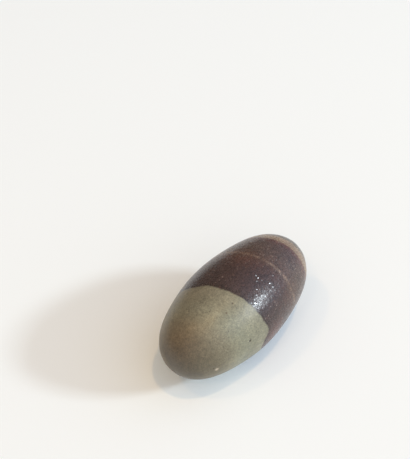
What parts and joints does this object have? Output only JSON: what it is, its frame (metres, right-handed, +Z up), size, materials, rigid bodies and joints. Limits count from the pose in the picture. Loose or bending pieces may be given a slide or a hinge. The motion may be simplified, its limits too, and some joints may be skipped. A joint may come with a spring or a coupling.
{
  "type": "shiva lingam stone",
  "caption": "Egg-shaped polished river stone, grey at one end and banded purple-brown at the other, lying on a small flat spot.",
  "frame": {"origin": "on the surface the stone rests on, below the middle of its length and width", "axes": "+X along the long axis towards the brown end, the grey end is towards -X, +Z up as it lies, +Y across it"},
  "size_m": [0.06, 0.0306, 0.03],
  "materials": {
    "stone": "polished iron-rich quartz rock: purple-brown with tan bands, and a satin greenish-grey cap at one end"
  },
  "bodies": {
    "root": {"lingam_stone": "stone"}
  },
  "joints": []
}
